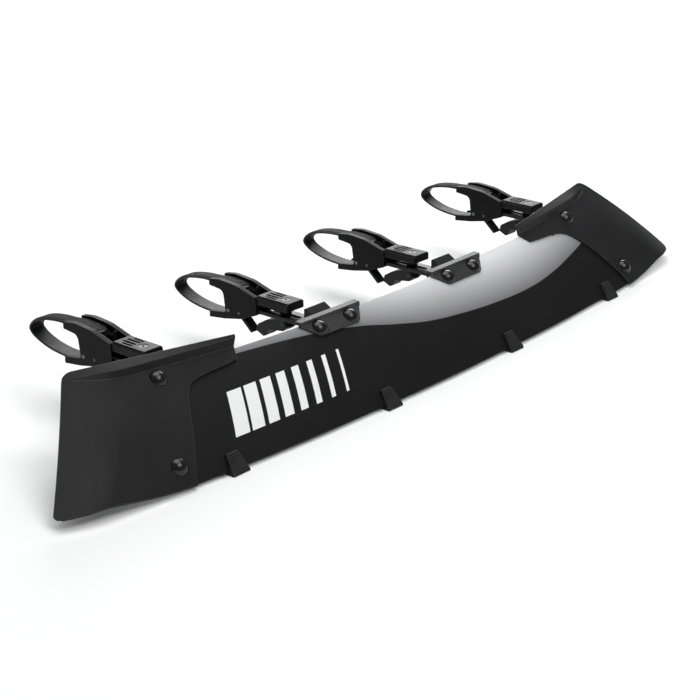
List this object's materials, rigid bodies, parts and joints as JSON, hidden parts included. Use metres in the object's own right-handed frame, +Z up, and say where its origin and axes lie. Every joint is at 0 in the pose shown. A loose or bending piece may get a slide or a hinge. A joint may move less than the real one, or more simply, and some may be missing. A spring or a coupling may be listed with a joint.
{
  "type": "roof rack wind fairing",
  "caption": "Roof-rack wind fairing: a long sloping bowed panel with wrap-round end caps, clamp caps, rubber feet and sliding brackets whose strap loops grip a crossbar.",
  "frame": {"origin": "on the roof line under the fairing's middle, between the two inner feet", "axes": "+X along the fairing to its right-hand end as seen from behind the vehicle's front, +Y from the nose back to the crossbar, +Z up"},
  "size_m": [1.3108, 0.3998, 0.133],
  "materials": {
    "panel_skin": "satin black with a brushed silver upper field",
    "cap_plastic": "moulded satin black",
    "clamp_plastic": "moulded satin black",
    "dome_plastic": "glossy black",
    "bracket_plastic": "glass-filled nylon",
    "arm_plastic": "glass-filled nylon",
    "rail_plastic": "glass-filled nylon",
    "lever_plastic": "satin black",
    "cam_plastic": "smooth blue-black",
    "strap_rubber": "ribbed elastomer band",
    "foot_rubber": "soft rubber",
    "black_steel": "black zinc",
    "pin_steel": "plain steel"
  },
  "bodies": {
    "fairing": {"panel": "panel_skin", "end_cap_left": "cap_plastic", "end_cap_right": "cap_plastic", "clamp_cap_left": "clamp_plastic", "clamp_cap_right": "clamp_plastic", "clamp_screws": "dome_plastic", "cap_rivets": "dome_plastic", "outer_shoe_screws": "black_steel", "foot_left_outer": "foot_rubber", "shoe_left_outer": "bracket_plastic", "tilt_pin_left_outer": "pin_steel", "foot_left_inner": "foot_rubber", "shoe_left_inner": "bracket_plastic", "tilt_pin_left_inner": "pin_steel", "foot_right_inner": "foot_rubber", "shoe_right_inner": "bracket_plastic", "tilt_pin_right_inner": "pin_steel", "foot_right_outer": "foot_rubber", "shoe_right_outer": "bracket_plastic", "tilt_pin_right_outer": "pin_steel"},
    "left_outer_rail": {"rail_left_outer": "rail_plastic"},
    "left_outer_head": {"head_left_outer": "bracket_plastic", "arm_left_outer": "arm_plastic", "strap_left_outer": "strap_rubber", "strap_pin_left_outer": "pin_steel", "lever_pin_left_outer": "pin_steel", "clamp_bolt_left_outer": "black_steel"},
    "left_outer_lever": {"lever_left_outer": "lever_plastic"},
    "left_outer_cam": {"cam_lever_left_outer": "cam_plastic"},
    "left_inner_rail": {"rail_left_inner": "rail_plastic"},
    "left_inner_head": {"head_left_inner": "bracket_plastic", "arm_left_inner": "arm_plastic", "strap_left_inner": "strap_rubber", "strap_pin_left_inner": "pin_steel", "lever_pin_left_inner": "pin_steel", "clamp_bolt_left_inner": "black_steel"},
    "left_inner_lever": {"lever_left_inner": "lever_plastic"},
    "left_inner_cam": {"cam_lever_left_inner": "cam_plastic"},
    "right_inner_rail": {"rail_right_inner": "rail_plastic"},
    "right_inner_head": {"head_right_inner": "bracket_plastic", "arm_right_inner": "arm_plastic", "strap_right_inner": "strap_rubber", "strap_pin_right_inner": "pin_steel", "lever_pin_right_inner": "pin_steel", "clamp_bolt_right_inner": "black_steel"},
    "right_inner_lever": {"lever_right_inner": "lever_plastic"},
    "right_inner_cam": {"cam_lever_right_inner": "cam_plastic"},
    "right_outer_rail": {"rail_right_outer": "rail_plastic"},
    "right_outer_head": {"head_right_outer": "bracket_plastic", "arm_right_outer": "arm_plastic", "strap_right_outer": "strap_rubber", "strap_pin_right_outer": "pin_steel", "lever_pin_right_outer": "pin_steel", "clamp_bolt_right_outer": "black_steel"},
    "right_outer_lever": {"lever_right_outer": "lever_plastic"},
    "right_outer_cam": {"cam_lever_right_outer": "cam_plastic"}
  },
  "joints": [
    {"name": "left_outer_tilt", "type": "hinge", "parent": "fairing", "child": "left_outer_rail", "pos_m": [-0.4125, 0.129, 0.1005], "axis": [1, 0, 0], "range_deg": [-8, 8]},
    {"name": "left_outer_reach", "type": "slide", "parent": "left_outer_rail", "child": "left_outer_head", "axis": [0, 1, 0], "range_m": [-0.008, 0.02]},
    {"name": "left_outer_release", "type": "hinge", "parent": "left_outer_head", "child": "left_outer_lever", "pos_m": [-0.4125, 0.237, 0.0915], "axis": [1, 0, 0], "range_deg": [0, 20], "stiffness_Nm_per_rad": 0.3},
    {"name": "left_outer_lock", "type": "hinge", "parent": "left_outer_head", "child": "left_outer_cam", "pos_m": [-0.4125, 0.165, 0.089], "axis": [1, 0, 0], "range_deg": [-70, 0]},
    {"name": "left_inner_tilt", "type": "hinge", "parent": "fairing", "child": "left_inner_rail", "pos_m": [-0.1375, 0.13, 0.084], "axis": [1, 0, 0], "range_deg": [-8, 8]},
    {"name": "left_inner_reach", "type": "slide", "parent": "left_inner_rail", "child": "left_inner_head", "axis": [0, 1, 0], "range_m": [-0.02, 0.008]},
    {"name": "left_inner_release", "type": "hinge", "parent": "left_inner_head", "child": "left_inner_lever", "pos_m": [-0.1375, 0.251, 0.075], "axis": [1, 0, 0], "range_deg": [0, 20], "stiffness_Nm_per_rad": 0.3},
    {"name": "left_inner_lock", "type": "hinge", "parent": "left_inner_head", "child": "left_inner_cam", "pos_m": [-0.1375, 0.179, 0.0725], "axis": [1, 0, 0], "range_deg": [-70, 0]},
    {"name": "right_inner_tilt", "type": "hinge", "parent": "fairing", "child": "right_inner_rail", "pos_m": [0.1375, 0.13, 0.084], "axis": [1, 0, 0], "range_deg": [-8, 8]},
    {"name": "right_inner_reach", "type": "slide", "parent": "right_inner_rail", "child": "right_inner_head", "axis": [0, 1, 0], "range_m": [-0.02, 0.008]},
    {"name": "right_inner_release", "type": "hinge", "parent": "right_inner_head", "child": "right_inner_lever", "pos_m": [0.1375, 0.251, 0.075], "axis": [1, 0, 0], "range_deg": [0, 20], "stiffness_Nm_per_rad": 0.3},
    {"name": "right_inner_lock", "type": "hinge", "parent": "right_inner_head", "child": "right_inner_cam", "pos_m": [0.1375, 0.179, 0.0725], "axis": [1, 0, 0], "range_deg": [-70, 0]},
    {"name": "right_outer_tilt", "type": "hinge", "parent": "fairing", "child": "right_outer_rail", "pos_m": [0.4125, 0.129, 0.1005], "axis": [1, 0, 0], "range_deg": [-8, 8]},
    {"name": "right_outer_reach", "type": "slide", "parent": "right_outer_rail", "child": "right_outer_head", "axis": [0, 1, 0], "range_m": [-0.008, 0.02]},
    {"name": "right_outer_release", "type": "hinge", "parent": "right_outer_head", "child": "right_outer_lever", "pos_m": [0.4125, 0.237, 0.0915], "axis": [1, 0, 0], "range_deg": [0, 20], "stiffness_Nm_per_rad": 0.3},
    {"name": "right_outer_lock", "type": "hinge", "parent": "right_outer_head", "child": "right_outer_cam", "pos_m": [0.4125, 0.165, 0.089], "axis": [1, 0, 0], "range_deg": [-70, 0]}
  ]
}
